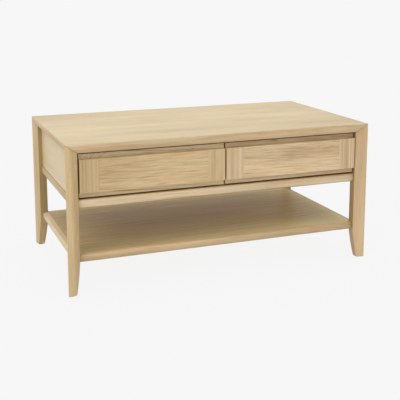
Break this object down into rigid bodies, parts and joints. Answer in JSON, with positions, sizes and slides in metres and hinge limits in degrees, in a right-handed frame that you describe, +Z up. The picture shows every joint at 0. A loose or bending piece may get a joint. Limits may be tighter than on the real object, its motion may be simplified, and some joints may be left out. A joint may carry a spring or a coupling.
{
  "type": "coffee table",
  "caption": "Oak coffee table with mitred edge bands, ridged legs on tapered feet, drawers with recessed finger pulls side by side, and an open shelf below.",
  "frame": {"origin": "on the floor, under the middle of the table top", "axes": "+X along the length, +Y to the back, +Z up; the drawers open towards -Y"},
  "size_m": [1.1, 0.6, 0.5],
  "materials": {
    "oak_solid": "satin lacquered pale oak",
    "oak_veneer": "satin lacquered oak veneer",
    "drawer_wood": "sanded pale drawer wood",
    "inner_wood": "plain sanded wood",
    "screw_steel": "zinc plated",
    "glide_plastic": "matt"
  },
  "bodies": {
    "frame": {"top_edge_front": "oak_solid", "top_edge_back": "oak_solid", "top_edge_left": "oak_solid", "top_edge_right": "oak_solid", "leg_front_left": "oak_solid", "leg_front_right": "oak_solid", "leg_back_left": "oak_solid", "leg_back_right": "oak_solid", "side_rail_left": "oak_solid", "side_rail_right": "oak_solid", "front_rail": "oak_solid", "back_rail": "oak_solid", "shelf_lipping_front": "oak_solid", "shelf_lipping_back": "oak_solid", "shelf_lipping_left": "oak_solid", "shelf_lipping_right": "oak_solid", "top_panel": "oak_veneer", "side_panel_left": "oak_veneer", "side_panel_right": "oak_veneer", "back_panel": "oak_veneer", "shelf_panel": "oak_veneer", "centre_rail": "inner_wood", "centre_divider": "inner_wood", "case_bottom_left": "inner_wood", "case_bottom_right": "inner_wood", "drawer_runner_left_outer": "inner_wood", "drawer_runner_left_inner": "inner_wood", "drawer_runner_right_inner": "inner_wood", "drawer_runner_right_outer": "inner_wood", "top_batten_left": "inner_wood", "top_batten_right": "inner_wood", "drawer_stops": "inner_wood", "rail_dowels": "inner_wood", "shelf_dowels": "inner_wood", "runner_screws": "screw_steel", "batten_screws": "screw_steel", "foot_glides": "glide_plastic"},
    "drawer_left": {"drawer_front_left": "oak_veneer", "drawer_panel_left": "oak_veneer", "drawer_stile_left_outer": "oak_solid", "drawer_stile_left_inner": "oak_solid", "drawer_side_left_outer": "drawer_wood", "drawer_side_left_inner": "drawer_wood", "drawer_back_left": "drawer_wood", "drawer_bottom_left": "drawer_wood"},
    "drawer_right": {"drawer_front_right": "oak_veneer", "drawer_panel_right": "oak_veneer", "drawer_stile_right_outer": "oak_solid", "drawer_stile_right_inner": "oak_solid", "drawer_side_right_outer": "drawer_wood", "drawer_side_right_inner": "drawer_wood", "drawer_back_right": "drawer_wood", "drawer_bottom_right": "drawer_wood"}
  },
  "joints": [
    {"name": "drawer_left_slide", "type": "slide", "parent": "frame", "child": "drawer_left", "axis": [0, -1, 0], "range_m": [0, 0.325]},
    {"name": "drawer_right_slide", "type": "slide", "parent": "frame", "child": "drawer_right", "axis": [0, -1, 0], "range_m": [0, 0.325]}
  ]
}
